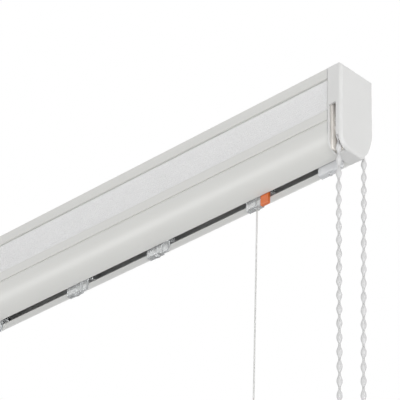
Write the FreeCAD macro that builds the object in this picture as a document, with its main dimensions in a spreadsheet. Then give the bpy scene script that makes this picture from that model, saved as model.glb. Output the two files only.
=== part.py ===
"""Roman blind headrail with a bead chain drive, five cord cassettes and one lift cord.

X runs along the rail towards the chain drive, Y from the front with the tape to the wall, Z up.
The origin is in the middle of the bracket channel's mouth, at the top of the rail.
"""

import FreeCAD, Part
import math
import os
import Sketcher

V = FreeCAD.Vector
ALONG = V(1, 0, 0)

# Driving dimensions in millimetres; each can be changed by itself.
SIZES = {
    "rail_length": 350.0,
    "rail_depth": 26.0,
    "rail_height": 51.3,
    "wall": 1.3,
    "upper_lip": 6.3,
    "recess_depth": 1.5,
    "tape_width": 20.0,
    "tape_thickness": 0.8,
    "tape_end_gap": 0.4,
    "groove_height": 1.4,
    "groove_depth": 0.7,
    "belly_lip": 4.6,
    "belly_radius": 12.6,
    "heel_radius": 9.5,
    "slot_width": 4.2,
    "slot_edge": 0.5,
    "slot_taper": 1.2,
    "channel_mouth": 12.0,
    "channel_depth": 4.6,
    "axis_rise": 15.5,
    "shaft_width": 5.0,
    "shaft_chamfer": 0.4,
    "drive_width": 9.6,
    "idle_width": 2.4,
    "cap_drop": 1.6,
    "cap_overhang": 0.15,
    "cap_wall": 1.2,
    "joint_gap": 0.25,
    "toe_radius": 7.5,
    "back_radius": 30.0,
    "back_rise": 19.9,
    "back_corner": 4.5,
    "edge_round": 1.8,
    "chain_slot_rise": 11.8,
    "chain_slot_width": 4.6,
    "chain_exit_width": 6.3,
    "chain_exit_drop": 9.2,
    "chain_slot_reach": 5.6,
    "housing_plate": 1.4,
    "spigot_length": 12.0,
    "spigot_room": 1.9,
    "spigot_wall": 1.4,
    "journal_radius": 5.0,
    "adapter_flange": 7.5,
    "core_radius": 3.2,
    "core_flange": 6.0,
    "spring_wire": 0.7,
    "hub_wall": 1.0,
    "wheel_reach": 5.3,
    "wheel_width": 5.0,
    "wheel_rim": 0.8,
    "scallop_radius": 1.6,
    "bead_width": 3.1,
    "bead_length": 6.6,
    "bead_pitch": 8.04,
    "string_width": 1.3,
    "boss_radius": 7.5,
    "boss_length": 6.0,
    "bush_radius": 4.2,
    "cassette_length": 16.2,
    "foot_length": 10.6,
    "foot_gap": 0.4,
    "foot_drop": 5.1,
    "foot_thickness": 3.3,
    "foot_round": 1.5,
    "base_thickness": 2.8,
    "base_width": 9.0,
    "base_bevel": 0.5,
    "cheek_thickness": 1.6,
    "cheek_width": 12.0,
    "cheek_rise": 3.0,
    "snap_width": 7.0,
    "spool_journal": 4.2,
    "spool_flange": 6.8,
    "flange_thickness": 0.9,
    "drum_radius": 4.9,
    "drum_taper": 0.5,
    "winding_height": 1.0,
    "winding_length": 4.0,
    "outlet_offset": 1.3,
    "outlet_radius": 0.7,
    "funnel_radius": 1.6,
    "funnel_depth": 2.0,
    "eyelet_radius": 1.6,
    "eyelet_height": 0.5,
    "clip_drop": 5.6,
    "clip_thickness": 1.7,
    "lift_cord_width": 0.9,
    "lift_cord_length": 120.6,
    "knot_width": 2.8,
    "knot_length": 4.2,
    "running_gap": 0.05,
    "sliding_gap": 0.1,
    "seat_gap": 0.1,
}
POCKETS = 8
WRAP_BEADS = 4
LOOP_BEADS = 45
BEAD_SIDES = 12

# How far each cassette's middle lies from the rail's drive end, and the one whose lift cord is let out.
CASSETTES = [8.3, 60.2, 135.8, 201.1, 274.6]
CORDED_CASSETTE = CASSETTES[1]

# Where the first bead lies below the wheel's axis on the front and on the rear strand.
FRONT_BEAD = 7.54
REAR_BEAD = 0.46

# The free chain as (Y, Z): down the front strand, round the bottom and up the rear strand.
CHAIN_ROUTE = [(-10.24, -35.8), (-10.24, -204.4), (-5.8, -212.1), (3.0, -212.1), (7.5, -204.2), (10.24, -35.8)]

doc = FreeCAD.newDocument("RomanBlindHeadrail")
sheet = doc.addObject("Spreadsheet::Sheet", "Sizes")
for row, (size_name, size_value) in enumerate(SIZES.items(), 1):
    sheet.set(f"A{row}", size_name)
    sheet.set(f"B{row}", str(size_value))
    sheet.setAlias(f"B{row}", size_name)
doc.recompute()


class Size:
    """A length worked out from the sheet's cells: its value now, and the expression that keeps it linked."""

    def __init__(self, value, text):
        self.value = value
        self.text = text

    def __add__(self, other):
        return Size(self.value + value_of(other), f"({self.text} + {text_of(other)})")

    def __sub__(self, other):
        return Size(self.value - value_of(other), f"({self.text} - {text_of(other)})")

    def __mul__(self, other):
        return Size(self.value * value_of(other), f"({self.text} * {text_of(other)})")

    def __truediv__(self, other):
        return Size(self.value / value_of(other), f"({self.text} / {text_of(other)})")

    def __neg__(self):
        return Size(-self.value, f"(-{self.text})")


def value_of(size):
    return size.value if isinstance(size, Size) else float(size)


def text_of(size):
    return size.text if isinstance(size, Size) else repr(float(size))


def root(size):
    return Size(math.sqrt(size.value), f"sqrt({size.text})")


def size(name):
    return Size(SIZES[name], f"Sizes.{name}")


# Levels and places that several pieces share.
half_depth = size("rail_depth") / 2
rail_end = size("rail_length") / 2
half_slot = size("slot_width") / 2
recess_top = -size("upper_lip")
recess_bottom = recess_top - size("tape_width") - size("seat_gap") * 2
panel_face = size("recess_depth") - half_depth
panel_back = panel_face + size("wall")
channel_floor = -size("channel_depth")
chamber_top = channel_floor - size("wall")
rail_bottom = -size("rail_height")
axis_height = size("axis_rise") - size("rail_height")
cap_height = size("rail_height") + size("cap_drop")
wheel_place = rail_end + size("wheel_reach")
wheel_start = size("wheel_reach") - size("wheel_width") / 2
wheel_end = size("wheel_reach") + size("wheel_width") / 2
core_tip = wheel_start + size("joint_gap")
wheel_radius = size("bead_pitch") * (POCKETS / (2 * math.pi))
half_square = size("shaft_width") / 2 + size("running_gap")
half_cassette = size("cassette_length") / 2
drum_end = half_cassette - size("cheek_thickness") - size("sliding_gap") - size("flange_thickness")
foot_top = rail_bottom - axis_height - size("sliding_gap")
foot_bottom = foot_top - size("foot_drop")
foot_front = size("foot_gap") - half_slot
foot_back = foot_front + size("foot_thickness")
foot_end = size("foot_length") - half_cassette
outlet_across = foot_front + size("foot_thickness") / 2
base_bottom = rail_bottom + size("wall") + size("sliding_gap") - axis_height
base_top = base_bottom + size("base_thickness")
belly_start = rail_bottom + size("belly_radius")
belly_middle = size("belly_radius") - half_depth
belly_inside = size("belly_radius") - size("wall")


def bind(thing, path, length):
    """Links one property to the sheet, or sets it where the length is a plain number."""
    thing.setExpression(path, text_of(length))


def new_body(label, place=None):
    """A body with its label; place is where its own origin lies in the rail's frame."""
    body = doc.addObject("PartDesign::Body", label)
    body.Label = label
    for axis, length in zip("xyz", place or ()):
        bind(body, f"Placement.Base.{axis}", length)
    return body


def new_sketch(body, name, role, height=0.0):
    """A sketch on one of the body's own planes, moved along the plane's normal by height."""
    plane = [f for f in body.Origin.OriginFeatures if f.Role == role][0]
    sketch = body.newObject("Sketcher::SketchObject", name)
    sketch.AttachmentSupport = [(plane, "")]
    sketch.MapMode = "FlatFace"
    bind(sketch, "AttachmentOffset.Base.z", height)
    return sketch


def belly_height(front, radius):
    """The height of the belly's curve at this distance in front of the rail's middle."""
    reach = front + belly_middle
    return belly_start - root(radius * radius - reach * reach)


def hold(sketch, constraint, length):
    """Adds a dimension to a sketch and links it to the sheet."""
    number = sketch.addConstraint(constraint)
    if isinstance(length, Size):
        sketch.setExpression(f"Constraints[{number}]", length.text)


def arc_through(start, end, radius):
    """The arc of under half a circle from start to end: counter-clockwise, or clockwise for a radius below 0."""
    chord = end - start
    across = V(-chord.y, chord.x, 0).normalize()
    rise = math.sqrt(max(radius ** 2 - chord.Length ** 2 / 4, 0.0))
    centre = (start + end) / 2 + across * math.copysign(rise, radius)
    low, high = (start, end) if radius > 0 else (end, start)
    angles = [math.atan2(p.y - centre.y, p.x - centre.x) for p in (low, high)]
    return Part.ArcOfCircle(Part.Circle(centre, V(0, 0, 1), abs(radius)), *angles)


def outline(sketch, corners):
    """A closed outline. Each corner is (across, up) or (across, up, radius of the arc that leads to it)."""
    first = sketch.GeometryCount
    last_to_first = [corners[-1], *corners[:-1]]
    ends = []
    for before, corner in zip(last_to_first, corners):
        start = V(value_of(before[0]), value_of(before[1]), 0)
        end = V(value_of(corner[0]), value_of(corner[1]), 0)
        if len(corner) == 2:
            sketch.addGeometry(Part.LineSegment(start, end), False)
            ends.append((1, 2))
        else:
            sketch.addGeometry(arc_through(start, end, value_of(corner[2])), False)
            ends.append((1, 2) if value_of(corner[2]) > 0 else (2, 1))
    count = len(corners)
    for number, corner in enumerate(corners):
        edge = first + number
        following = (number + 1) % count
        joined = (edge, ends[number][1], first + following, ends[following][0])
        sketch.addConstraint(Sketcher.Constraint("Coincident", *joined))
        for kind, length in zip(("DistanceX", "DistanceY"), corner):
            at = (-1, 1, edge, ends[number][1], value_of(length))
            hold(sketch, Sketcher.Constraint(kind, *at), length)
        if len(corner) == 3:
            radius = corner[2] if value_of(corner[2]) > 0 else -corner[2]
            hold(sketch, Sketcher.Constraint("Radius", edge, value_of(radius)), radius)


def rectangle(sketch, across, up):
    """A rectangle from its two limits across and its two limits up."""
    (left, right), (low, high) = across, up
    outline(sketch, [(left, low), (right, low), (right, high), (left, high)])


def circle(sketch, across, up, radius):
    """A circle with its centre and radius linked to the sheet."""
    centre = V(value_of(across), value_of(up), 0)
    number = sketch.addGeometry(Part.Circle(centre, V(0, 0, 1), value_of(radius)), False)
    for kind, length in (("DistanceX", across), ("DistanceY", up)):
        hold(sketch, Sketcher.Constraint(kind, -1, 1, number, 3, value_of(length)), length)
    hold(sketch, Sketcher.Constraint("Radius", number, value_of(radius)), radius)


def pad(body, sketch, length, name):
    """Adds the sketch's area, drawn out along its normal."""
    feature = body.newObject("PartDesign::Pad", name)
    feature.Profile = sketch
    bind(feature, "Length", length)
    sketch.Visibility = False
    return feature


def pocket(body, sketch, length, name):
    """Cuts the sketch's area along its normal."""
    feature = body.newObject("PartDesign::Pocket", name)
    feature.Profile = sketch
    feature.Reversed = True
    bind(feature, "Length", length)
    sketch.Visibility = False
    return feature


def revolved(body, corners, name):
    """A turned solid about the body's X axis; corners are (along, radius)."""
    sketch = new_sketch(body, f"{name}_profile", "XZ_Plane")
    outline(sketch, corners)
    feature = body.newObject("PartDesign::Revolution", name)
    feature.Profile = sketch
    feature.ReferenceAxis = (sketch, ["H_Axis"])
    feature.Angle = 360
    return feature


def block(body, name, along, across, up, cut=False):
    """Adds or cuts a rectangular block with the given limits along X, Y and Z."""
    sketch = new_sketch(body, f"{name}_area", "YZ_Plane", along[0])
    rectangle(sketch, across, up)
    make = pocket if cut else pad
    return make(body, sketch, along[1] - along[0], name)


def square_hole(body, name, along):
    """The square hole that the drive shaft goes through."""
    sides = (-half_square, half_square)
    return block(body, name, along, sides, sides, cut=True)


def round_outer_edges(body, feature, height):
    """Rounds the edges of the flat face that lies at this height along X."""
    doc.recompute()
    found = [
        f"Edge{number}"
        for number, edge in enumerate(feature.Shape.Edges, 1)
        if all(abs(vertex.X - value_of(height)) < 1e-6 for vertex in edge.Vertexes)
    ]
    rounded = body.newObject("PartDesign::Fillet", f"{feature.Name}_rounding")
    rounded.Base = (feature, found)
    bind(rounded, "Radius", size("edge_round"))
    return rounded


def rail_outline():
    """The extrusion's section, clockwise from the top front: channel, back, slot, chamber, belly and recess."""
    mouth = size("channel_mouth") / 2
    inner = half_depth - size("wall")
    flange = -size("wall")
    heel_start = rail_bottom + size("heel_radius")
    heel_middle = half_depth - size("heel_radius")
    heel_inside = size("heel_radius") - size("wall")
    groove_bottom = belly_start + size("belly_lip")
    groove_top = groove_bottom + size("groove_height")
    groove_floor = size("groove_depth") - half_depth
    return [
        (-half_depth, 0),
        (-mouth, 0),
        (-mouth, flange),
        (-inner, flange),
        (-inner, channel_floor),
        (inner, channel_floor),
        (inner, flange),
        (mouth, flange),
        (mouth, 0),
        (half_depth, 0),
        (half_depth, heel_start),
        (heel_middle, rail_bottom, -size("heel_radius")),
        (half_slot, rail_bottom),
        (half_slot, rail_bottom + size("slot_edge")),
        (half_slot + size("slot_taper"), rail_bottom + size("wall")),
        (heel_middle, rail_bottom + size("wall")),
        (inner, heel_start, heel_inside),
        (inner, chamber_top),
        (panel_back, chamber_top),
        (panel_back, recess_bottom - size("wall")),
        (-inner, recess_bottom - size("wall")),
        (-inner, belly_start),
        (-half_slot, belly_height(half_slot, belly_inside), belly_inside),
        (-half_slot, belly_height(half_slot, size("belly_radius"))),
        (-half_depth, belly_start, -size("belly_radius")),
        (-half_depth, groove_bottom),
        (groove_floor, groove_bottom),
        (groove_floor, groove_top),
        (-half_depth, groove_top),
        (-half_depth, recess_bottom),
        (panel_face, recess_bottom),
        (panel_face, recess_top),
        (-half_depth, recess_top),
    ]


def headrail():
    """The white extrusion, cut to length."""
    body = new_body("headrail")
    section = new_sketch(body, "rail_section", "YZ_Plane", -rail_end)
    outline(section, rail_outline())
    pad(body, section, size("rail_length"), "rail_length_pad")
    return body


def loop_tape():
    """The hook and loop tape that lies in the front recess."""
    body = new_body("loop_tape")
    end = rail_end - size("tape_end_gap")
    across = (panel_face - size("tape_thickness"), panel_face)
    up = (recess_bottom + size("seat_gap"), recess_top - size("seat_gap"))
    block(body, "tape", (-end, end), across, up)
    return body


def cap_outline(inset):
    """An end cap's outline, clockwise from the top front, drawn in by inset all round."""
    side = half_depth + size("cap_overhang")
    bottom = inset - cap_height
    corner = size("back_corner")
    arc_middle = side - size("back_radius")
    drop = size("back_rise") - corner
    reach = size("back_radius") - corner
    corner_middle = root(reach * reach - drop * drop)
    outward = (size("back_radius") - inset) / reach
    back_start = size("back_rise") - cap_height
    meeting = (arc_middle + corner_middle * outward, back_start - drop * outward)
    toe_middle = size("toe_radius") - side
    return [
        (inset - side, -inset),
        (side - inset, -inset),
        (side - inset, back_start),
        (*meeting, inset - size("back_radius")),
        (arc_middle + corner_middle, bottom, inset - corner),
        (toe_middle, bottom),
        (inset - side, size("toe_radius") - cap_height, inset - size("toe_radius")),
    ]


def drive_cap():
    """The chain drive's cover: an open box with a window in front and a way out for each strand of the chain."""
    body = new_body("drive_cap")
    rim = rail_end + size("joint_gap")
    depth = size("drive_width") - size("joint_gap")
    shell = new_sketch(body, "cap_area", "YZ_Plane", rim)
    outline(shell, cap_outline(size("wall") * 0))
    solid = pad(body, shell, depth, "cap_pad")
    round_outer_edges(body, solid, rim + depth)
    inside = new_sketch(body, "cavity_area", "YZ_Plane", rim)
    outline(inside, cap_outline(size("cap_wall")))
    pocket(body, inside, depth - size("cap_wall"), "cavity")
    slot_start = rail_end + size("housing_plate") - size("seat_gap")
    window = (slot_start, slot_start + size("chain_slot_width"))
    way_out = (slot_start, slot_start + size("chain_exit_width"))
    below = -cap_height * 1.1
    slot_top = axis_height + size("chain_slot_rise")
    exit_top = axis_height - size("chain_exit_drop")
    outside = half_depth * 1.2
    inner = half_depth - size("chain_slot_reach")
    block(body, "front_window", window, (-outside, -inner), (below, slot_top), cut=True)
    block(body, "front_exit", way_out, (-outside, -inner), (below, exit_top), cut=True)
    block(body, "rear_exit", way_out, (inner, outside), (below, slot_top), cut=True)
    return body


def spigot(body, along, open_side):
    """The hollow plug that holds an end piece in the rail's upper chamber, open at one end."""
    gap = size("seat_gap") * 2
    wall = size("spigot_wall")
    across = (panel_back + gap, half_depth - size("wall") - gap)
    up = (axis_height + size("spool_flange") + size("spigot_room"), chamber_top - gap)
    block(body, "spigot", along, across, up)
    hollow = (along[0], along[1] - wall) if open_side < 0 else (along[0] + wall, along[1])
    rib = wall / 2
    for side, (left, right) in enumerate(((across[0] + wall, -rib), (rib, across[1] - wall))):
        block(body, f"spigot_core_{side}", hollow, (left, right), (up[0] + wall, up[1] - wall), cut=True)


def drive_housing():
    """The plate that closes the drive cap towards the rail, with the wheel's bearing and the plug."""
    body = new_body("drive_housing")
    plate = new_sketch(body, "plate_area", "YZ_Plane", rail_end)
    outline(plate, cap_outline(size("cap_wall") + size("seat_gap")))
    pad(body, plate, size("housing_plate"), "plate")
    bearing = new_sketch(body, "bearing_area", "YZ_Plane", rail_end)
    circle(bearing, 0, axis_height, size("journal_radius") + size("running_gap"))
    pocket(body, bearing, size("housing_plate"), "bearing")
    spigot(body, (rail_end - size("spigot_length"), rail_end), -1)
    return body


def axis_body(label, along):
    """A body whose own X axis is the drive shaft's line."""
    return new_body(label, (along, 0, axis_height))


def clutch_core():
    """The fixed post that the wrap springs grip, seated on the drive cap's outer wall."""
    body = axis_body("clutch_core", rail_end)
    base = size("drive_width") - size("cap_wall")
    flange = wheel_end + size("sliding_gap")
    corners = [
        (core_tip, 0),
        (base, 0),
        (base, size("core_flange")),
        (flange, size("core_flange")),
        (flange, size("core_radius")),
        (core_tip, size("core_radius")),
    ]
    revolved(body, corners, "core")
    return body


def clutch_springs():
    """The two wrap springs on the post, each drawn as one closely wound sleeve."""
    body = axis_body("clutch_springs", rail_end)
    start = core_tip + size("seat_gap")
    end = size("drive_width") - size("cap_wall") * 2 - size("seat_gap")
    inner = size("core_radius") + size("running_gap")
    outer = inner + size("spring_wire")
    length = (end - start - size("seat_gap") * 2) / 2
    revolved(body, [(start, inner), (start + length, inner), (start + length, outer), (start, outer)], "inner_spring")
    outer_spring = new_sketch(body, "outer_spring_area", "YZ_Plane", end - length)
    circle(outer_spring, 0, 0, outer)
    circle(outer_spring, 0, 0, inner)
    bridge = new_sketch(body, "bridge_area", "YZ_Plane", start + length)
    circle(bridge, 0, 0, outer)
    circle(bridge, 0, 0, outer - size("spring_wire") / 2)
    pad(body, bridge, end - length - start - length, "bridge")
    pad(body, outer_spring, length, "outer_spring")
    return body


def chain_wheel():
    """The wheel that the beads lie in: a grooved drum between two scalloped rims, round the clutch."""
    body = axis_body("chain_wheel", wheel_place)
    side = size("wheel_width") / 2
    inside = side - size("wheel_rim")
    bore = size("core_radius") + size("running_gap") * 2 + size("spring_wire")
    seat = wheel_radius - size("bead_width") / 2 - size("sliding_gap")
    rim = wheel_radius + size("wheel_rim")
    corners = [
        (-side, bore),
        (side, bore),
        (side, rim),
        (inside + size("sliding_gap"), rim),
        (inside, seat),
        (-inside, seat),
        (-inside - size("sliding_gap"), rim),
        (-side, rim),
    ]
    revolved(body, corners, "wheel")
    notch = new_sketch(body, "scallop_area", "YZ_Plane", -side)
    circle(notch, 0, rim + size("wheel_rim") / 2, size("scallop_radius"))
    scallop = pocket(body, notch, size("wheel_width"), "scallop")
    around = body.newObject("PartDesign::PolarPattern", "scallops")
    around.Originals = [scallop]
    around.Axis = (body.Origin.OriginFeatures[0], [""])
    around.Angle = 360
    around.Occurrences = POCKETS
    body.Tip = around
    return body


def shaft_adapter():
    """Carries the wheel's turn to the shaft: a journal in the housing's bearing and a flange on the wheel."""
    body = axis_body("shaft_adapter", rail_end)
    start = size("seat_gap")
    shoulder = size("housing_plate") + size("seat_gap")
    end = wheel_start
    corners = [
        (start, 0),
        (end, 0),
        (end, size("adapter_flange")),
        (shoulder, size("adapter_flange")),
        (shoulder, size("journal_radius")),
        (start, size("journal_radius")),
    ]
    revolved(body, corners, "adapter")
    square_hole(body, "socket", (start, end))
    return body


def drive_shaft():
    """The square shaft that runs through all the spools."""
    body = new_body("drive_shaft", (0, 0, axis_height))
    start = -rail_end - size("idle_width") / 2
    end = rail_end + wheel_start
    half = size("shaft_width") / 2
    shoulder = half - size("shaft_chamfer")
    section = new_sketch(body, "shaft_area", "YZ_Plane", start)
    corners = [(-shoulder, -half), (shoulder, -half), (half, -shoulder), (half, shoulder)]
    corners += [(shoulder, half), (-shoulder, half), (-half, shoulder), (-half, -shoulder)]
    outline(section, corners)
    pad(body, section, end - start, "shaft")
    return body


def shaft_bush():
    """The round bush on the shaft's far end."""
    body = axis_body("shaft_bush", -rail_end)
    start = -size("idle_width") / 2
    end = size("boss_length") - size("seat_gap")
    corners = [(start, 0), (end, 0), (end, size("bush_radius")), (start, size("bush_radius"))]
    revolved(body, corners, "bush")
    square_hole(body, "bush_hole", (start, end))
    return body


def idle_cap():
    """The plain cap on the far end, with its plug and the bearing of the shaft's bush."""
    body = new_body("idle_cap")
    outer = -rail_end - size("idle_width")
    plate = new_sketch(body, "idle_area", "YZ_Plane", outer)
    outline(plate, cap_outline(size("wall") * 0))
    solid = pad(body, plate, size("idle_width"), "idle_plate")
    round_outer_edges(body, solid, outer)
    spigot(body, (-rail_end, size("spigot_length") - rail_end), 1)
    boss = new_sketch(body, "boss_area", "YZ_Plane", -rail_end)
    circle(boss, 0, axis_height, size("boss_radius"))
    pad(body, boss, size("boss_length"), "boss")
    depth = size("boss_length") + size("idle_width") / 2 + size("seat_gap")
    bore = new_sketch(body, "bore_area", "YZ_Plane", size("boss_length") - rail_end - depth)
    circle(bore, 0, axis_height, size("bush_radius") + size("running_gap"))
    pocket(body, bore, depth, "bore")
    return body


def cassette(number, centre):
    """A clear cord cassette: cheeks with snap bearings, a base on the slot's edges and an upright foot below."""
    body = axis_body(f"cassette_{number}", centre)
    base = size("base_width") / 2
    cheek = size("cheek_width") / 2
    trunk = [
        (-cheek * 0.7, size("cheek_rise")),
        (cheek * 0.7, size("cheek_rise")),
        (cheek, -size("spool_journal") * 0.4),
        (base, base_top),
        (base, base_bottom),
    ]
    foot = [
        (-foot_front, base_bottom),
        (-foot_front, foot_top),
        (foot_back, foot_top),
        (foot_back, foot_bottom),
        (foot_front + size("foot_round"), foot_bottom),
        (foot_front, foot_bottom + size("foot_round"), -size("foot_round")),
        (foot_front, base_bottom),
    ]
    seat = base - size("base_bevel")
    seat_height = belly_height(seat, belly_inside) - axis_height + size("running_gap")
    front = [(-seat, seat_height), (-base, base_top), (-cheek, -size("spool_journal") * 0.4)]
    footed = new_sketch(body, "footed_area", "YZ_Plane", -half_cassette)
    outline(footed, trunk + foot + front)
    pad(body, footed, size("foot_length"), "footed_part")
    plain = new_sketch(body, "plain_area", "YZ_Plane", foot_end)
    outline(plain, trunk + front)
    pad(body, plain, half_cassette - foot_end, "plain_part")
    room = half_cassette - size("cheek_thickness")
    block(body, "spool_room", (-room, room), (-cheek, cheek), (base_top, size("cheek_rise")), cut=True)
    bearing = new_sketch(body, "bearing_area", "YZ_Plane", -half_cassette)
    circle(bearing, 0, 0, size("spool_journal") + size("running_gap"))
    pocket(body, bearing, size("cassette_length"), "bearing")
    half_snap = size("snap_width") / 2
    block(body, "snap", (-half_cassette, half_cassette), (-half_snap, half_snap), (0, size("cheek_rise")), cut=True)
    cord_outlet(body)
    return body


def cord_outlet(body):
    """The cord's hole through the base, with a funnel above it and a rounded eyelet below."""
    place = (-size("outlet_offset"), outlet_across)
    bottom = foot_bottom - size("eyelet_height")
    eyelet = new_sketch(body, "eyelet_area", "XY_Plane", bottom)
    circle(eyelet, *place, size("eyelet_radius"))
    pad(body, eyelet, size("eyelet_height"), "eyelet")
    hole = new_sketch(body, "outlet_area", "XY_Plane", bottom)
    circle(hole, *place, size("outlet_radius"))
    pocket(body, hole, base_top - bottom, "outlet")
    funnel = new_sketch(body, "funnel_area", "XY_Plane", base_top - size("funnel_depth"))
    circle(funnel, *place, size("funnel_radius"))
    pocket(body, funnel, size("funnel_depth"), "funnel")


def lock_clip(number, centre):
    """The clip beside a cassette's foot, pushed up into the slot to lock the cassette."""
    body = axis_body(f"lock_clip_{number}", centre)
    top = base_bottom - size("sliding_gap")
    bottom = foot_top - size("clip_drop")
    back = foot_front + size("clip_thickness")
    edge = size("clip_thickness") / 2
    section = new_sketch(body, "clip_area", "YZ_Plane", foot_end + size("sliding_gap"))
    corners = [
        (foot_front, top),
        (back, top),
        (back, bottom),
        (foot_front + edge, bottom),
        (foot_front, bottom + edge, -edge),
    ]
    outline(section, corners)
    pad(body, section, half_cassette - foot_end - size("sliding_gap"), "clip")
    return body


def drum_radius_at(along):
    """The drum tapers towards the drive end, so that the turns lie side by side."""
    share = (along + drum_end) / (drum_end * 2)
    return size("drum_radius") - size("drum_taper") * share


def spool(number, centre):
    """A spool on the shaft: journals in the cassette's cheeks, two flanges and a tapered drum."""
    body = axis_body(f"spool_{number}", centre)
    tip = half_cassette - size("running_gap")
    shoulder = drum_end + size("flange_thickness")
    journal = size("spool_journal")
    flange = size("spool_flange")
    corners = [
        (-tip, 0),
        (tip, 0),
        (tip, journal),
        (shoulder, journal),
        (shoulder, flange),
        (drum_end, flange),
        (drum_end, drum_radius_at(drum_end)),
        (-drum_end, drum_radius_at(-drum_end)),
        (-drum_end, flange),
        (-shoulder, flange),
        (-shoulder, journal),
        (-tip, journal),
    ]
    revolved(body, corners, "turned")
    square_hole(body, "shaft_hole", (-tip, tip))
    return body


def cord_winding(centre):
    """The turns of lift cord still on the drum, above the outlet."""
    body = axis_body("cord_winding", centre)
    start = -size("outlet_offset") - size("winding_length") / 2
    end = start + size("winding_length")
    outer = size("drum_radius") + size("winding_height")
    corners = [(start, drum_radius_at(start)), (end, drum_radius_at(end)), (end, outer), (start, outer)]
    revolved(body, corners, "turns")
    return body


def cord_route(points):
    """Straight runs joined by tangent arcs, as large as the two runs beside each point allow; prints the radii."""
    edges = []
    radii = []
    start = points[0]
    for before, corner, after in zip(points, points[1:], points[2:]):
        arriving = (corner - before).normalize()
        leaving = (after - corner).normalize()
        half_turn = arriving.getAngle(leaving) / 2
        tangent = 0.45 * min((corner - before).Length, (after - corner).Length)
        radii.append(round(tangent / math.tan(half_turn), 2))
        first = corner - arriving * tangent
        last = corner + leaving * tangent
        bisector = (leaving - arriving).normalize()
        middle = corner + bisector * (tangent / math.sin(half_turn) - tangent / math.tan(half_turn)) * 1.0
        if (first - start).Length > 1e-6:
            edges.append(Part.LineSegment(start, first).toShape())
        edges.append(Part.Arc(first, middle, last).toShape())
        start = last
    edges.append(Part.LineSegment(start, points[-1]).toShape())
    print("cord radii", radii)
    return Part.Wire(edges)


def cord_solid(label, path, width):
    """A plain tube along a path; its volume is compared with its section times its length."""
    start = path.Edges[0]
    tangent = start.tangentAt(start.FirstParameter)
    ring = Part.Wire(Part.makeCircle(width / 2, start.valueAt(start.FirstParameter), tangent))
    tube = path.makePipeShell([ring], True, False)
    expected = math.pi * width ** 2 / 4 * path.Length
    print(label, "length", round(path.Length, 2), "volume share", round(tube.Volume / expected, 4))
    return part_feature(label, tube)


def part_feature(label, shape):
    """A sub-part whose shape is worked out directly."""
    feature = doc.addObject("Part::Feature", label)
    feature.Label = label
    feature.Shape = shape
    return feature


def ring(radius, height):
    """The corners of one level of a bead, whose flat sides lie this far from its middle."""
    reach = radius / math.cos(math.pi / BEAD_SIDES)
    turns = [math.tau * side / BEAD_SIDES for side in range(BEAD_SIDES)]
    return [V(reach * math.cos(turn), reach * math.sin(turn), height) for turn in turns]


def flat_face(corners):
    """A flat face through these corners."""
    return Part.Face(Part.makePolygon([*corners, corners[0]]))


def bead():
    """One long bead along Z about its own centre: two tapers with a short band between them, in flat facets."""
    half = SIZES["bead_length"] / 2
    band = SIZES["bead_length"] * 0.13
    width = SIZES["bead_width"] / 2
    neck = SIZES["string_width"] / 2 + SIZES["running_gap"]
    levels = [ring(neck, -half), ring(width, -band), ring(width, band), ring(neck, half)]
    faces = [flat_face(levels[0]), flat_face(levels[-1])]
    for lower, upper in zip(levels, levels[1:]):
        for side in range(BEAD_SIDES):
            faces.append(flat_face([lower[side - 1], lower[side], upper[side], upper[side - 1]]))
    return Part.Solid(Part.Shell(faces))


def placed_bead(shape, place, direction):
    """A copy of the bead with its length along a direction."""
    copy = shape.copy()
    copy.Placement = FreeCAD.Placement(place, FreeCAD.Rotation(V(0, 0, 1), direction))
    return copy


def point_along(path, distance):
    """The place and direction at a distance along a path."""
    for edge in path.Edges:
        if distance <= edge.Length:
            parameter = edge.getParameterByLength(distance)
            return edge.valueAt(parameter), edge.tangentAt(parameter)
        distance -= edge.Length
    return edge.valueAt(edge.LastParameter), edge.tangentAt(edge.LastParameter)


def chain():
    """The endless bead chain: the string over the wheel and below it, and the beads on each."""
    plane = value_of(wheel_place)
    height = value_of(axis_height)
    radius = value_of(wheel_radius)
    width = SIZES["string_width"]
    over = [V(plane, -radius, height), V(plane, 0, height + radius), V(plane, radius, height)]
    wrap = Part.Wire([Part.Arc(*over).toShape()])
    free = cord_route([V(plane, y, z) for y, z in CHAIN_ROUTE])
    pattern = bead()
    spread = FRONT_BEAD + REAR_BEAD + wrap.Length
    wrap_pitch = spread / (WRAP_BEADS + 1)
    over_beads = [
        placed_bead(pattern, *point_along(wrap, wrap_pitch * number - FRONT_BEAD))
        for number in range(1, WRAP_BEADS + 1)
    ]
    pitch = (free.Length - FRONT_BEAD - REAR_BEAD) / (LOOP_BEADS - 1)
    print("bead pitch on the free chain", round(pitch, 3))
    free_beads = [
        placed_bead(pattern, *point_along(free, FRONT_BEAD + pitch * number))
        for number in range(LOOP_BEADS)
    ]
    return [
        cord_solid("chain_wrap", wrap, width),
        part_feature("chain_wrap_beads", Part.Compound(over_beads)),
        cord_solid("chain_loop", free, width),
        part_feature("chain_beads", Part.Compound(free_beads)),
    ]


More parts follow.
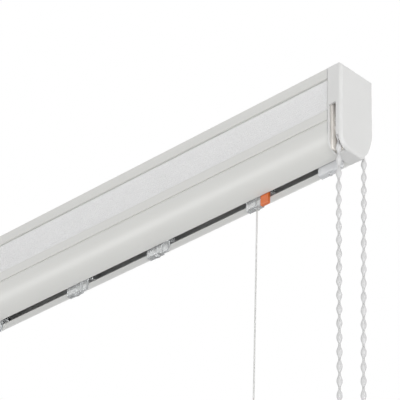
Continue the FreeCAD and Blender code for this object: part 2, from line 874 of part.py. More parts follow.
def lift_cord(centre):
    """The lift cord: off the drum, down through the outlet, and hanging to its knot."""
    along = value_of(centre) - SIZES["outlet_offset"]
    across = value_of(outlet_across)
    height = value_of(axis_height)
    width = SIZES["lift_cord_width"]
    leaving = SIZES["drum_radius"] + SIZES["winding_height"] + width / 2 + SIZES["running_gap"]
    bend = V(along, across, height + value_of(base_top) + width / 2)
    outlet = height + value_of(foot_bottom) - SIZES["eyelet_height"]
    away = math.hypot(across, bend.z - height)
    direction = math.atan2(bend.z - height, across) + math.acos(leaving / away)
    drum_point = V(along, leaving * math.cos(direction), height + leaving * math.sin(direction))
    inner = cord_route([drum_point, bend, V(along, across, outlet)])
    end = V(along, across, outlet - SIZES["lift_cord_length"])
    hanging = Part.Wire([Part.LineSegment(V(along, across, outlet), end).toShape()])
    knot_half = SIZES["knot_length"] / 2
    knot_width = SIZES["knot_width"] / 2
    rim = [V(0, 0, -knot_half), V(width / 2, 0, -knot_half), V(knot_width, 0, -knot_half * 0.4)]
    rim += [V(knot_width, 0, knot_half * 0.4), V(width / 2, 0, knot_half), V(0, 0, knot_half)]
    knot = Part.Face(Part.makePolygon([*rim, rim[0]])).revolve(V(0, 0, 0), V(0, 0, 1), 360)
    knot.translate(end - V(0, 0, knot_half))
    return [
        cord_solid("lift_cord_inner", inner, width),
        cord_solid("lift_cord", hanging, width),
        part_feature("cord_knot", knot),
    ]


def check(parts):
    """Stops if any object failed or any sub-part isn't one sound shape."""
    for thing in doc.Objects:
        if any(word in thing.State for word in ("Invalid", "Error")):
            raise RuntimeError(f"{thing.Name} failed: {thing.State}")
    for part in parts:
        if part.Shape.isNull() or not part.Shape.isValid():
            raise RuntimeError(f"{part.Label} has no valid shape")


def build():
    """Every sub-part of the headrail, in one list."""
    parts = [headrail(), loop_tape(), drive_cap(), drive_housing(), clutch_core(), clutch_springs()]
    parts += [chain_wheel(), shaft_adapter(), drive_shaft(), shaft_bush(), idle_cap()]
    for number, reach in enumerate(CASSETTES, 1):
        centre = rail_end - reach
        parts += [cassette(number, centre), spool(number, centre), lock_clip(number, centre)]
    corded = rail_end - CORDED_CASSETTE
    parts.append(cord_winding(corded))
    parts += chain()
    parts += lift_cord(corded)
    return parts


parts = build()
doc.recompute()
check(parts)
os.makedirs("parts", exist_ok=True)
for part in parts:
    part.Shape.exportStep(f"parts/{part.Label}.step")
    box = part.Shape.BoundBox
    print(part.Label, len(part.Shape.Solids), round(part.Shape.Volume, 1), [round(v, 2) for v in (
        box.XMin, box.XMax, box.YMin, box.YMax, box.ZMin, box.ZMax)])
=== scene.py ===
"""Looks of the roman blind headrail: camera, lights, materials, and the tape, chain and cord in detail."""

import math
import random

import bmesh
import bpy
from mathutils import Matrix, Vector


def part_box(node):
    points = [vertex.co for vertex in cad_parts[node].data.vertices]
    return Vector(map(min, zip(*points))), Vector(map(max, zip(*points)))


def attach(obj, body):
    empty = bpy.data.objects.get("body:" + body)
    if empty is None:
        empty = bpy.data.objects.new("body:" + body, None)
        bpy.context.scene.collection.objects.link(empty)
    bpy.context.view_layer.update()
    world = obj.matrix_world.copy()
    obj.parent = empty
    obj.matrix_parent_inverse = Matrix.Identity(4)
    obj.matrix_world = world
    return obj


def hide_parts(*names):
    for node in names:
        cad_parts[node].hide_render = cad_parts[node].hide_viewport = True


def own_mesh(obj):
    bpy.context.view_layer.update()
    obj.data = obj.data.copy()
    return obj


MM = 0.001
UNITS = range(1, 6)

# The photograph's viewpoint, worked out from its straight lines.
CAMERA_PLACE = Vector((0.82453, -0.75696, -0.70739))
CAMERA_AZIMUTH = math.radians(44.915)
CAMERA_ELEVATION = math.radians(-32.255)
CAMERA_ROLL = math.radians(1.958)
CAMERA_LENS = 204.8

# The studio: the floor, the light from all round, and the lamps as place, width and watts.
FLOOR_HEIGHT = -2.6
FLOOR_SIDE = 30.0
FLOOR_GLOW = 0.45
AMBIENT = (0.37, 0.37, 0.372)
LAMPS = {
    "side_light": ((2.2, -0.4, 0.3), 1.2, 15.5),
    "front_light": ((-1.94, -2.69, -0.46), 1.2, 23),
    "low_light": ((1.8, -1.8, -1.1), 1.6, 30),
    "back_light": ((0.4, 2.5, -1.3), 1.2, 14),
    "rear_light": ((-0.8, 2.6, 1.3), 1.6, 24),
}
LIT_PLACE = (0.1, 0, -0.05)

# The rail: the (Y, Z) corners of its bare chamber, the width of its sawn ends that are painted dark as the
# shade of the seam at the caps, and the tape's gap from them.
CHAMBER_LOW = (-10.9 * MM, -44.0 * MM)
CHAMBER_HIGH = (12.3 * MM, -6.0 * MM)
SEAM_SHADE_WIDTH = 0.3 * MM
TAPE_GAP = 0.3 * MM

# The ribs of the drive housing in millimetres: (Y, Z) corners, corner radius, and reach along X.
RIB_FOOT = 176.35
RIB_EDGE = 0.2
SIDE_RIB = ((-11.9, -51.4), (-8.4, -21.5), 0.9, 177.55)
LOWER_RIB = ((-8.2, -51.6), (-7.5, -46.6), 0.3, 182.6)

# The chain: the wheel it runs over, and its route below the wheel as (Y, Z) in millimetres.
WHEEL = Vector((180.3, 0.0, -35.8)) * MM
WRAP_RADIUS = 10.237 * MM
CHAIN_ROUTE = [
    (-10.24, -35.8),
    (-10.24, -44.2),
    (-10.24, -195.5),
    (-10.24, -204.4),
    (-5.8, -212.1),
    (3.0, -212.1),
    (7.5, -204.2),
    (7.648, -195.1),
    (10.10, -44.2),
    (10.24, -35.8),
]
STRING_WIDTH = 1.3 * MM
BEAD_WIDTH = 3.1 * MM
BEAD_LENGTH = 6.6 * MM
BEAD_NECK = 1.404 * MM
BEAD_TAPER = 1.35
FRONT_BEAD = 7.54 * MM
REAR_BEAD = 0.46 * MM
LOOP_BEADS = 45
WRAP_BEADS = 4

# The lift cord below its outlet, and its knot.
CORD_X = 113.5
CORD_Y = -0.05
CORD_ROUTE = [
    (CORD_X, CORD_Y, -57.0),
    (CORD_X, CORD_Y, -100.0),
    (CORD_X, CORD_Y, -140.0),
    (CORD_X, CORD_Y, -177.6),
]
CORD_WIDTH = 0.9 * MM
KNOT_LENGTH = 4.2 * MM
KNOT_WIDTH = 2.8 * MM

# The hooks of the tape, and its ground as (share of the width, share of the thickness).
HOOK_SPACING = 1.3 * MM
HOOK_STRAND = 0.16 * MM
HOOK_SHIFT = 0.12 * MM
HOOK_MARGIN = 1.6 * MM
GROUND_COLUMNS = 350
GROUND_SECTION = [
    (0.0, 0.0),
    (0.02, 0.55),
    (0.04, 0.75),
    (0.07, 0.5),
    (0.1, 0.45),
    (0.5, 0.45),
    (0.9, 0.45),
    (0.93, 0.5),
    (0.96, 0.75),
    (0.98, 0.55),
    (1.0, 0.0),
]


def new_material(name, color, roughness, **inputs):
    """A Principled material; returns it with its node tree and shader."""
    material = bpy.data.materials.new(name)
    material.use_nodes = True
    tree = material.node_tree
    shader = tree.nodes["Principled BSDF"]
    shader.inputs["Base Color"].default_value = (*color, 1)
    shader.inputs["Roughness"].default_value = roughness
    for key, value in inputs.items():
        shader.inputs[key.replace("_", " ")].default_value = value
    return material, tree, shader


def add_node(tree, kind, settings=None, inputs=None):
    """A shader node with its properties and unlinked inputs set."""
    node = tree.nodes.new(kind)
    for key, value in (settings or {}).items():
        setattr(node, key, value)
    for key, value in (inputs or {}).items():
        node.inputs[key].default_value = value
    return node


def object_coordinates(tree, stretch=(1, 1, 1)):
    """Positions in the part's frame, stretched."""
    place = add_node(tree, "ShaderNodeTexCoord")
    mapping = add_node(tree, "ShaderNodeMapping", inputs={"Scale": stretch})
    tree.links.new(place.outputs["Object"], mapping.inputs["Vector"])
    return mapping.outputs["Vector"]


def noise(tree, vector, scale, detail=3.0, roughness=0.5):
    """The value of a noise texture."""
    inputs = {"Scale": scale, "Detail": detail, "Roughness": roughness}
    texture = add_node(tree, "ShaderNodeTexNoise", inputs=inputs)
    tree.links.new(vector, texture.inputs["Vector"])
    return texture.outputs["Fac"]


def ramp(tree, value, low, high, places=(0.3, 0.7)):
    """A colour that goes from low to high as value passes the two places."""
    node = add_node(tree, "ShaderNodeValToRGB")
    for element, place, color in zip(node.color_ramp.elements, places, (low, high)):
        element.position = place
        element.color = (*color, 1)
    tree.links.new(value, node.inputs["Fac"])
    return node.outputs["Color"]


def spread(tree, value, low, high):
    """The value mapped from 0..1 to low..high."""
    node = add_node(tree, "ShaderNodeMapRange", inputs={"To Min": low, "To Max": high})
    tree.links.new(value, node.inputs["Value"])
    return node.outputs["Result"]


def blend(tree, factor, first, second):
    """The first colour where factor is 0 and the second where it is 1; each is a socket or a plain colour."""
    node = add_node(tree, "ShaderNodeMix", {"data_type": "RGBA"})
    tree.links.new(factor, node.inputs["Factor"])
    for key, color in (("A", first), ("B", second)):
        if isinstance(color, tuple):
            node.inputs[key].default_value = (*color, 1)
        else:
            tree.links.new(color, node.inputs[key])
    return node.outputs["Result"]


def bump(tree, shader, height, distance, strength=1.0, edge=0.0):
    """Bump from a height, over normals that are rounded at the edges where edge is set."""
    node = add_node(tree, "ShaderNodeBump", inputs={"Strength": strength, "Distance": distance})
    tree.links.new(height, node.inputs["Height"])
    if edge:
        bevel = add_node(tree, "ShaderNodeBevel", {"samples": 6}, {"Radius": edge})
        tree.links.new(bevel.outputs["Normal"], node.inputs["Normal"])
    tree.links.new(node.outputs["Normal"], shader.inputs["Normal"])


def tinted(color, factor):
    """A colour made darker or paler by a factor."""
    return tuple(min(1.0, channel * factor) for channel in color)


def moulded(name, color, roughness, grain=9000.0, depth=0.000006, edge=0.00025, **inputs):
    """Moulded plastic: fine spark-eroded grain, faint flow shades and rounded edges."""
    material, tree, shader = new_material(name, color, roughness, **inputs)
    where = object_coordinates(tree)
    shade = ramp(tree, noise(tree, where, 60.0), tinted(color, 0.985), tinted(color, 1.015))
    tree.links.new(shade, shader.inputs["Base Color"])
    tree.links.new(spread(tree, noise(tree, where, 400.0), roughness - 0.04, roughness + 0.04),
                   shader.inputs["Roughness"])
    bump(tree, shader, noise(tree, where, grain, 2.0), depth, 0.6, edge)
    return material


def between(tree, value, low, high):
    """1 where value lies between low and high, and 0 elsewhere."""
    inputs = {1: (low + high) / 2, 2: (high - low) / 2}
    node = add_node(tree, "ShaderNodeMath", {"operation": "COMPARE"}, inputs)
    tree.links.new(value, node.inputs[0])
    return node.outputs["Value"]


def powder_coat():
    """Satin white powder coat; the chamber inside is bare metal, and the sawn ends are bare metal painted
    dark as the shade of the seam at the caps.
    """
    color = (0.70, 0.70, 0.676)
    # Painted shade: the sawn ends are darker, standing in for the shaded seam where the rail meets the caps.
    seam_shade = (0.45, 0.45, 0.45)
    chamber = (0.70, 0.70, 0.705)
    material, tree, shader = new_material("powder_coat", color, 0.45, Coat_Weight=0.8, Coat_Roughness=0.44)
    where = object_coordinates(tree)
    shade = ramp(tree, noise(tree, where, 25.0), tinted(color, 0.99), tinted(color, 1.01))
    parts = add_node(tree, "ShaderNodeSeparateXYZ")
    tree.links.new(where, parts.inputs["Vector"])
    left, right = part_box("headrail")
    coated = between(tree, parts.outputs["X"], left.x + SEAM_SHADE_WIDTH, right.x - SEAM_SHADE_WIDTH)
    inside = add_node(tree, "ShaderNodeMath", {"operation": "MULTIPLY"})
    for number, (axis, low, high) in enumerate(zip("YZ", CHAMBER_LOW, CHAMBER_HIGH)):
        tree.links.new(between(tree, parts.outputs[axis], low, high), inside.inputs[number])
    outside = blend(tree, coated, seam_shade, shade)
    tree.links.new(blend(tree, inside.outputs["Value"], outside, chamber), shader.inputs["Base Color"])
    tree.links.new(spread(tree, noise(tree, where, 900.0), 0.41, 0.49), shader.inputs["Roughness"])
    bump(tree, shader, noise(tree, where, 1500.0, 2.0), 0.000012, 0.5, 0.00018)
    return material


def tape_fabric():
    """White hook tape: a dense woven ground with fuzz between the hooks."""
    color = (0.905, 0.905, 0.905)
    material, tree, shader = new_material("tape_fabric", color, 0.9, Sheen_Weight=0.25, Sheen_Roughness=0.4)
    where = object_coordinates(tree)
    fuzz = noise(tree, where, 2500.0, 4.0, 0.6)
    shade = ramp(tree, fuzz, tinted(color, 0.9), tinted(color, 1.05), (0.35, 0.65))
    tree.links.new(shade, shader.inputs["Base Color"])
    weave = add_node(tree, "ShaderNodeTexWave", {"bands_direction": "X"})
    weave.inputs["Scale"].default_value = 1100.0
    weave.inputs["Distortion"].default_value = 1.5
    tree.links.new(where, weave.inputs["Vector"])
    bump(tree, shader, weave.outputs["Fac"], 0.00008, 0.5)
    return material


def clear_plastic(name, color, clearness):
    """Clear moulded polycarbonate, a little clouded."""
    material, tree, shader = new_material(name, color, 0.12, Transmission_Weight=clearness, IOR=1.5)
    where = object_coordinates(tree)
    shade = ramp(tree, noise(tree, where, 180.0), tinted(color, 0.95), color)
    tree.links.new(shade, shader.inputs["Base Color"])
    tree.links.new(spread(tree, noise(tree, where, 500.0), 0.1, 0.2), shader.inputs["Roughness"])
    bump(tree, shader, noise(tree, where, 500.0, 2.0), 0.00001, 0.3, 0.0003)
    return material


def drawn_metal(name, color, roughness, stretch):
    """Drawn metal, with fine lines along its length."""
    material, tree, shader = new_material(name, color, roughness, Metallic=1.0)
    lines = noise(tree, object_coordinates(tree, stretch), 3000.0)
    tree.links.new(ramp(tree, lines, tinted(color, 0.85), tinted(color, 1.08)), shader.inputs["Base Color"])
    tree.links.new(spread(tree, lines, roughness - 0.1, roughness + 0.1), shader.inputs["Roughness"])
    bump(tree, shader, lines, 0.000008, 0.5, 0.0002)
    return material


def braid(name, color, turns, pitch):
    """Braided cord: crossing strands, laid out by the tube's UV map of turns round and millimetres along; the
    dips between the strands are painted darker as shade.
    """
    material, tree, shader = new_material(name, color, 0.75, Sheen_Weight=0.2)
    place = add_node(tree, "ShaderNodeTexCoord")
    mapping = add_node(tree, "ShaderNodeMapping", inputs={"Scale": (turns, 1 / pitch, 1)})
    tree.links.new(place.outputs["UV"], mapping.inputs["Vector"])
    parts = add_node(tree, "ShaderNodeSeparateXYZ")
    tree.links.new(mapping.outputs["Vector"], parts.inputs["Vector"])
    cross = add_node(tree, "ShaderNodeMath", {"operation": "MAXIMUM"})
    for number, lean in enumerate((1.0, -1.0)):
        strand = add_node(tree, "ShaderNodeMath", {"operation": "MULTIPLY_ADD"}, {1: lean})
        tree.links.new(parts.outputs["X"], strand.inputs[0])
        tree.links.new(parts.outputs["Y"], strand.inputs[2])
        wave = add_node(tree, "ShaderNodeMath", {"operation": "PINGPONG"}, {1: 0.5})
        tree.links.new(strand.outputs["Value"], wave.inputs[0])
        tree.links.new(wave.outputs["Value"], cross.inputs[number])
    # Painted shade: the dips between the strands are darker.
    shade = ramp(tree, cross.outputs["Value"], tinted(color, 0.82), color, (0.1, 0.4))
    tree.links.new(shade, shader.inputs["Base Color"])
    bump(tree, shader, cross.outputs["Value"], 0.00012, 0.8)
    return material


def paint(node, material):
    """Gives a CAD node its finish."""
    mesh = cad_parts[node].data
    mesh.materials.clear()
    mesh.materials.append(material)


def new_object(name, mesh, material):
    """Puts a mesh into the scene with its finish."""
    thing = bpy.data.objects.new(name, mesh)
    bpy.context.scene.collection.objects.link(thing)
    mesh.materials.append(material)
    return thing


def nurbs_path(name, points):
    """The smooth line that has the route's points as its control points, as a list of places."""
    curve = bpy.data.curves.new(name, "CURVE")
    curve.dimensions = "3D"
    curve.resolution_u = 24
    spline = curve.splines.new("NURBS")
    spline.points.add(len(points) - 1)
    for point, place in zip(spline.points, points):
        point.co = (*place, 1)
    spline.order_u = 3
    spline.use_endpoint_u = True
    line = bpy.data.objects.new(name, curve)
    bpy.context.scene.collection.objects.link(line)
    bpy.context.view_layer.update()
    mesh = bpy.data.meshes.new_from_object(line)
    path = [vertex.co.copy() for vertex in mesh.vertices]
    bpy.data.objects.remove(line)
    bpy.data.meshes.remove(mesh)
    return path


def path_length(path):
    """How long a path is."""
    return sum((b - a).length for a, b in zip(path, path[1:]))


def along(path, distance):
    """The place and direction at a distance along a path."""
    for start, end in zip(path, path[1:]):
        step = (end - start).length
        if distance <= step:
            return start.lerp(end, distance / step), (end - start).normalized()
        distance -= step
    return path[-1].copy(), (path[-1] - path[-2]).normalized()


def turns_round(sides):
    """The angles of a ring's corners."""
    return [2 * math.pi * k / sides for k in range(sides)]


def tube(name, path, width, material, sides=14):
    """A round tube along a path, with turns round and millimetres along in its UV map."""
    work = bmesh.new()
    layer = work.loops.layers.uv.new("UVMap")
    rings = []
    reached = 0.0
    lengths = []
    across = Vector((1, 0, 0))
    for number, place in enumerate(path):
        after = path[min(number + 1, len(path) - 1)]
        before = path[max(number - 1, 0)]
        direction = (after - before).normalized()
        side = (across - direction * across.dot(direction)).normalized()
        other = direction.cross(side)
        if number:
            reached += (place - before).length
        lengths.append(reached / MM)
        ring = []
        for turn in turns_round(sides):
            out = side * math.cos(turn) + other * math.sin(turn)
            ring.append(work.verts.new(place + out * width / 2))
        rings.append(ring)
    for number, (low, high) in enumerate(zip(rings, rings[1:])):
        for k in range(sides):
            face = work.faces.new((low[k], low[(k + 1) % sides], high[(k + 1) % sides], high[k]))
            face.smooth = True
            corners = [(k, number), (k + 1, number), (k + 1, number + 1), (k, number + 1)]
            for loop, (turn, step) in zip(face.loops, corners):
                loop[layer].uv = (turn / sides, lengths[step])
    work.faces.new(rings[0][::-1])
    work.faces.new(rings[-1])
    mesh = bpy.data.meshes.new(name)
    work.to_mesh(mesh)
    work.free()
    return new_object(name, mesh, material)


def lathe(work, profile, matrix, sides=20):
    """Adds a turned, closed form to the mesh; profile is (radius, height) from pole to pole."""
    rings = []
    for radius, height in profile[1:-1]:
        ring = []
        for turn in turns_round(sides):
            place = Vector((radius * math.cos(turn), radius * math.sin(turn), height))
            ring.append(work.verts.new(matrix @ place))
        rings.append(ring)
    poles = [work.verts.new(matrix @ Vector((0, 0, profile[end][1]))) for end in (0, -1)]
    for k in range(sides):
        following = (k + 1) % sides
        work.faces.new((poles[0], rings[0][following], rings[0][k])).smooth = True
        work.faces.new((poles[1], rings[-1][k], rings[-1][following])).smooth = True
        for low, high in zip(rings, rings[1:]):
            work.faces.new((low[k], low[following], high[following], high[k])).smooth = True


def bead_profile():
    """A long bead: a round belly that tapers to a slim neck at each end."""
    half = BEAD_LENGTH / 2
    neck = BEAD_NECK / 2
    belly = BEAD_WIDTH / 2
    rows = [(0.0, -half)]
    for step in range(17):
        share = step / 8 - 1
        swell = math.cos(share * math.pi / 2) ** BEAD_TAPER
        rows.append((neck + (belly - neck) * swell, share * half * 0.98))
    rows.append((0.0, half))
    return rows


def beads(name, places, material):
    """Beads at these places and directions, as one piece."""
    work = bmesh.new()
    profile = bead_profile()
    for place, direction in places:
        matrix = Matrix.Translation(place) @ direction.to_track_quat("Z", "Y").to_matrix().to_4x4()
        lathe(work, profile, matrix)
    mesh = bpy.data.meshes.new(name)
    work.to_mesh(mesh)
    work.free()
    return new_object(name, mesh, material)


def bead_chain(string_material, bead_material):
    """The endless chain: over the wheel, and down in a loop."""
    route = [Vector((WHEEL.x, y * MM, z * MM)) for y, z in CHAIN_ROUTE]
    path = nurbs_path("chain_line", route)
    length = path_length(path)
    string = tube("chain_string", path, STRING_WIDTH, string_material, 10)
    pitch = (length - FRONT_BEAD - REAR_BEAD) / (LOOP_BEADS - 1)
    places = [along(path, FRONT_BEAD + pitch * k) for k in range(LOOP_BEADS)]
    hanging = beads("hanging_beads", places, bead_material)
    for piece, node in ((string, "chain_loop"), (hanging, "chain_beads")):
        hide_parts(node)
        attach(piece, "rail")
    angles = [math.pi - math.pi * k / 40 for k in range(41)]
    over = [WHEEL + Vector((0, math.cos(a), math.sin(a))) * WRAP_RADIUS for a in angles]
    wrap = tube("wrap_string", over, STRING_WIDTH, string_material, 10)
    wheel_pitch = (path_length(over) + FRONT_BEAD + REAR_BEAD) / (WRAP_BEADS + 1)
    places = [along(over, wheel_pitch * k - FRONT_BEAD) for k in range(1, WRAP_BEADS + 1)]
    riding = beads("wheel_beads", places, bead_material)
    for piece, node in ((wrap, "chain_wrap"), (riding, "chain_wrap_beads")):
        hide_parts(node)
        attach(piece, "rail")


def lift_cord(material):
    """The lift cord, plumb below its outlet, with a knot at its end."""
    path = nurbs_path("lift_line", [Vector(place) * MM for place in CORD_ROUTE])
    hanging = tube("hanging_cord", path, CORD_WIDTH, material, 10)
    knot = overhand_knot(path[-1], material)
    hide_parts("lift_cord")
    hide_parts("cord_knot")
    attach(hanging, "carriage_2")
    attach(knot, "cord_end")
    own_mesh(hanging)


def overhand_knot(top, material):
    """The cord's knot: one strand that goes round itself in a small trefoil."""
    centre = top - Vector((0, 0, KNOT_LENGTH / 2))
    strand = CORD_WIDTH * 0.95
    reach = (KNOT_WIDTH - strand) / 2
    rise = (KNOT_LENGTH - strand) / 2
    path = []
    for step in range(49):
        t = 2 * math.pi * step / 48
        across = (math.sin(t) + 2 * math.sin(2 * t)) / 3
        up = (math.cos(t) - 2 * math.cos(2 * t)) / 3
        path.append(centre + Vector((across * reach, -math.sin(3 * t) * reach * 0.55, up * rise)))
    return tube("knot", path, strand, material, 10)


def hook(work, foot, lean, height, turn):
    """Adds one bent hook of the tape: up from its foot, over and down again."""
    strand = HOOK_STRAND / 2
    across = Vector((math.cos(turn), 0, math.sin(turn)))
    out = Vector((0, -1, 0))
    bend = [(0.0, 0.0), (0.05, 0.6), (0.35, 1.0), (0.8, 0.9), (1.0, 0.5)]
    side = out.cross(across)
    rings = []
    for over, up in bend:
        place = foot + across * over * lean + out * up * height
        rings.append([work.verts.new(place + (across * math.cos(a) + side * math.sin(a)) * strand)
                      for a in turns_round(3)])
    for low, high in zip(rings, rings[1:]):
        for k in range(3):
            work.faces.new((low[k], low[(k + 1) % 3], high[(k + 1) % 3], high[k])).smooth = True
    work.faces.new(rings[0][::-1])
    work.faces.new(rings[-1])


def tape_ground(work, low, high):
    """Adds the woven ground of the tape, with raised selvedges and a slight wave."""
    thickness = high.y - low.y
    grid = []
    for column in range(GROUND_COLUMNS + 1):
        x = low.x + (high.x - low.x) * column / GROUND_COLUMNS
        swing = math.sin(x * 95) * 0.03 + math.sin(x * 41 + 1) * 0.03
        line = []
        for share, depth in GROUND_SECTION:
            lift = min(1.0, depth + (swing if 0 < share < 1 else 0.0)) * thickness
            line.append(work.verts.new((x, high.y - lift, low.z + (high.z - low.z) * share)))
        grid.append(line)
    for left, right in zip(grid, grid[1:]):
        for k in range(len(GROUND_SECTION) - 1):
            work.faces.new((left[k], right[k], right[k + 1], left[k + 1])).smooth = True
        work.faces.new((left[-1], right[-1], right[0], left[0]))
    work.faces.new(grid[0])
    work.faces.new(grid[-1][::-1])


def hook_tape(material):
    """The tape in the front recess: a woven ground with staggered rows of small hooks."""
    low, high = (Vector(corner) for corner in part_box("loop_tape"))
    low.x += TAPE_GAP
    high.x -= TAPE_GAP
    chance = random.Random(11)
    work = bmesh.new()
    tape_ground(work, low, high)
    face = high.y - (high.y - low.y) * 0.4
    height = high.z - low.z - HOOK_MARGIN * 2
    rows = int(height / HOOK_SPACING)
    columns = int((high.x - low.x - HOOK_MARGIN) / HOOK_SPACING)
    for row in range(rows + 1):
        z = low.z + HOOK_MARGIN + height * row / rows
        for column in range(columns):
            x = low.x + HOOK_MARGIN / 2 + HOOK_SPACING * (column + (row % 2) / 2)
            shift = Vector((chance.uniform(-1, 1), 0, chance.uniform(-1, 1))) * HOOK_SHIFT
            turn = (0 if row % 2 else math.pi) + chance.uniform(-0.5, 0.5)
            rise = (high.y - low.y) * chance.uniform(0.5, 0.6)
            hook(work, Vector((x, face, z)) + shift, HOOK_SPACING * 0.36, rise, turn)
    mesh = bpy.data.meshes.new("hook_tape")
    work.to_mesh(mesh)
    work.free()
    tape = new_object("hook_tape", mesh, material)
    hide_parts("loop_tape")
    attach(tape, "rail")


def rib(work, low, high, corner, reach):
    """Adds a rib of the drive housing from its (Y, Z) corners, its corner radius and its reach along X."""
    middle = [(a + b) / 2 for a, b in zip(low, high)]
    layers = [
        (RIB_FOOT, 0.0),
        (reach - RIB_EDGE, 0.0),
        (reach - RIB_EDGE / 4, RIB_EDGE * 0.3),
        (reach, RIB_EDGE),
    ]
    rings = []
    for x, inset in layers:
        ring = []
        for turn, (across, up) in enumerate([(1, 1), (-1, 1), (-1, -1), (1, -1)]):
            y = middle[0] + across * ((high[0] - low[0]) / 2 - corner)
            z = middle[1] + up * ((high[1] - low[1]) / 2 - corner)
            for step in range(7):
                angle = math.radians(turn * 90 + step * 15)
                out = corner - inset
                place = Vector((x, y + out * math.cos(angle), z + out * math.sin(angle)))
                ring.append(work.verts.new(place * MM))
        rings.append(ring)
    count = len(rings[0])
    for left, right in zip(rings, rings[1:]):
        for k in range(count):
            following = (k + 1) % count
            work.faces.new((left[k], left[following], right[following], right[k])).smooth = True
    work.faces.new(rings[0][::-1])
    work.faces.new(rings[-1])


def chain_guide(material):
    """The ivory ribs of the drive housing that show beside the wheel and behind the front strand."""
    work = bmesh.new()
    for shape in (SIDE_RIB, LOWER_RIB):
        rib(work, *shape)
    mesh = bpy.data.meshes.new("chain_guide")
    work.to_mesh(mesh)
    work.free()
    guide = new_object("chain_guide", mesh, material)
    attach(guide, "rail")


def camera():
    """The photograph's viewpoint."""
    back = Vector((math.sin(CAMERA_AZIMUTH) * math.cos(CAMERA_ELEVATION),
                   -math.cos(CAMERA_AZIMUTH) * math.cos(CAMERA_ELEVATION), math.sin(CAMERA_ELEVATION)))
    right = Vector((0, 0, 1)).cross(back).normalized()
    up = back.cross(right)
    cos, sin = math.cos(CAMERA_ROLL), math.sin(CAMERA_ROLL)
    columns = (cos * right + sin * up, cos * up - sin * right, back)
    view = bpy.data.objects.new("camera", bpy.data.cameras.new("camera"))
    view.data.lens = CAMERA_LENS
    view.data.sensor_width = 36
    view.data.clip_end = 20
    view.matrix_world = Matrix.Translation(CAMERA_PLACE) @ Matrix(columns).transposed().to_4x4()
    bpy.context.scene.collection.objects.link(view)
    bpy.context.scene.camera = view


def area_light(name, place, target, width, power):
    """A soft square light that faces a target."""
    light = bpy.data.lights.new(name, "AREA")
    light.size = width
    light.energy = power
    lamp = bpy.data.objects.new(name, light)
    lamp.location = place
    lamp.rotation_euler = (Vector(target) - Vector(place)).to_track_quat("-Z", "Y").to_euler()
    bpy.context.scene.collection.objects.link(lamp)


def looked_at(tree):
    """1 where the camera, a reflection or a clear piece shows the surface, and 0 elsewhere."""
    rays = add_node(tree, "ShaderNodeLightPath")
    shown = rays.outputs["Is Camera Ray"]
    for kind in ("Is Glossy Ray", "Is Transmission Ray"):
        either = add_node(tree, "ShaderNodeMath", {"operation": "MAXIMUM"})
        tree.links.new(shown, either.inputs[0])
        tree.links.new(rays.outputs[kind], either.inputs[1])
        shown = either.outputs["Value"]
    return shown


def pale_floor():
    """A plain pale floor far below."""
    mesh = bpy.data.meshes.new("floor")
    corners = [(x * FLOOR_SIDE, y * FLOOR_SIDE, 0) for x, y in ((-1, -1), (1, -1), (1, 1), (-1, 1))]
    mesh.from_pydata(corners, [], [(0, 1, 2, 3)])
    paint_color = (0.9, 0.9, 0.9)
    material, tree, shader = new_material("floor_paint", paint_color, 0.9, Emission_Color=(1, 1, 1, 1))
    tree.links.new(spread(tree, looked_at(tree), 0.0, FLOOR_GLOW), shader.inputs["Emission Strength"])
    ground = new_object("floor", mesh, material)
    ground.location.z = FLOOR_HEIGHT


def studio():
    """A white background and soft light from all round."""
    world = bpy.data.worlds.new("studio")
    bpy.context.scene.world = world
    world.use_nodes = True
    tree = world.node_tree
    shown = blend(tree, looked_at(tree), AMBIENT, (1.0, 1.0, 1.0))
    tree.links.new(shown, tree.nodes["Background"].inputs["Color"])
    for name, (place, width, power) in LAMPS.items():
        area_light(name, place, LIT_PLACE, width, power)
    pale_floor()


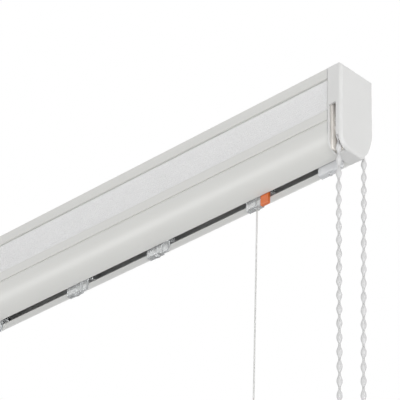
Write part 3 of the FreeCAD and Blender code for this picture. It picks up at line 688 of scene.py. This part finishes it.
def dress_nodes():
    """A finish for every CAD piece that keeps its own mesh."""
    cap = moulded("cap_plastic", (0.735, 0.735, 0.725), 0.4)
    housing = moulded("housing_plastic", (0.94, 0.90, 0.845), 0.5)
    acetal = moulded("acetal", (0.88, 0.86, 0.82), 0.35)
    grey = moulded("grey_acetal", (0.33, 0.34, 0.36), 0.4)
    clear = clear_plastic("clear_plastic", (0.965, 0.98, 0.985), 0.76)
    # A paler, cloudier copy of the clear plastic, as painted light on the first cassette and its clip beside
    # the cap.
    paler_lit_clear = clear_plastic("lit_clear_plastic", (0.96, 0.97, 0.985), 0.45)
    orange = clear_plastic("orange_plastic", (0.85, 0.20, 0.045), 0.2)
    shaft = drawn_metal("shaft_metal", (0.70, 0.70, 0.71), 0.35, (0.02, 1, 1))
    spring = drawn_metal("spring_wire", (0.55, 0.55, 0.56), 0.3, (1, 0.1, 0.1))
    paint("headrail", powder_coat())
    for node in ("drive_cap", "idle_cap"):
        paint(node, cap)
    for node in ("drive_housing", "clutch_core"):
        paint(node, housing)
    chain_guide(housing)
    for node in ("chain_wheel", "shaft_adapter", "shaft_bush"):
        paint(node, acetal)
    paint("drive_shaft", shaft)
    paint("clutch_springs", spring)
    # The first cassette and its clip take the paler copy of the clear plastic, as painted light.
    for number in UNITS:
        paint(f"cassette_{number}", {1: paler_lit_clear}.get(number, clear))
        paint(f"spool_{number}", grey)
        paint(f"lock_clip_{number}", {1: paler_lit_clear, 2: orange}.get(number, clear))


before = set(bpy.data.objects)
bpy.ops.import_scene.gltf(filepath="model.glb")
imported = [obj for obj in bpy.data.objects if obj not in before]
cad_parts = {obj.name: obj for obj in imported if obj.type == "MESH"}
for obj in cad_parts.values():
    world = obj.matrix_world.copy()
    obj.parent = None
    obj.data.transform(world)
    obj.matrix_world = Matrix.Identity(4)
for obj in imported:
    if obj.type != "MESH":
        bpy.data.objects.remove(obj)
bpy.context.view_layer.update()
bpy.context.scene.view_settings.view_transform = "Standard"
camera()
studio()
cord_material = braid("cord_braid", (0.72, 0.72, 0.705), 4, 0.8)
string_material = braid("string_braid", (0.64, 0.64, 0.635), 4, 0.9)
bead_material = moulded("bead_plastic", (0.66, 0.66, 0.66), 0.5)
bead_chain(string_material, bead_material)
lift_cord(cord_material)
for cord_node in ("lift_cord_inner", "cord_winding"):
    paint(cord_node, cord_material)
hook_tape(tape_fabric())
dress_nodes()
bpy.context.view_layer.update()
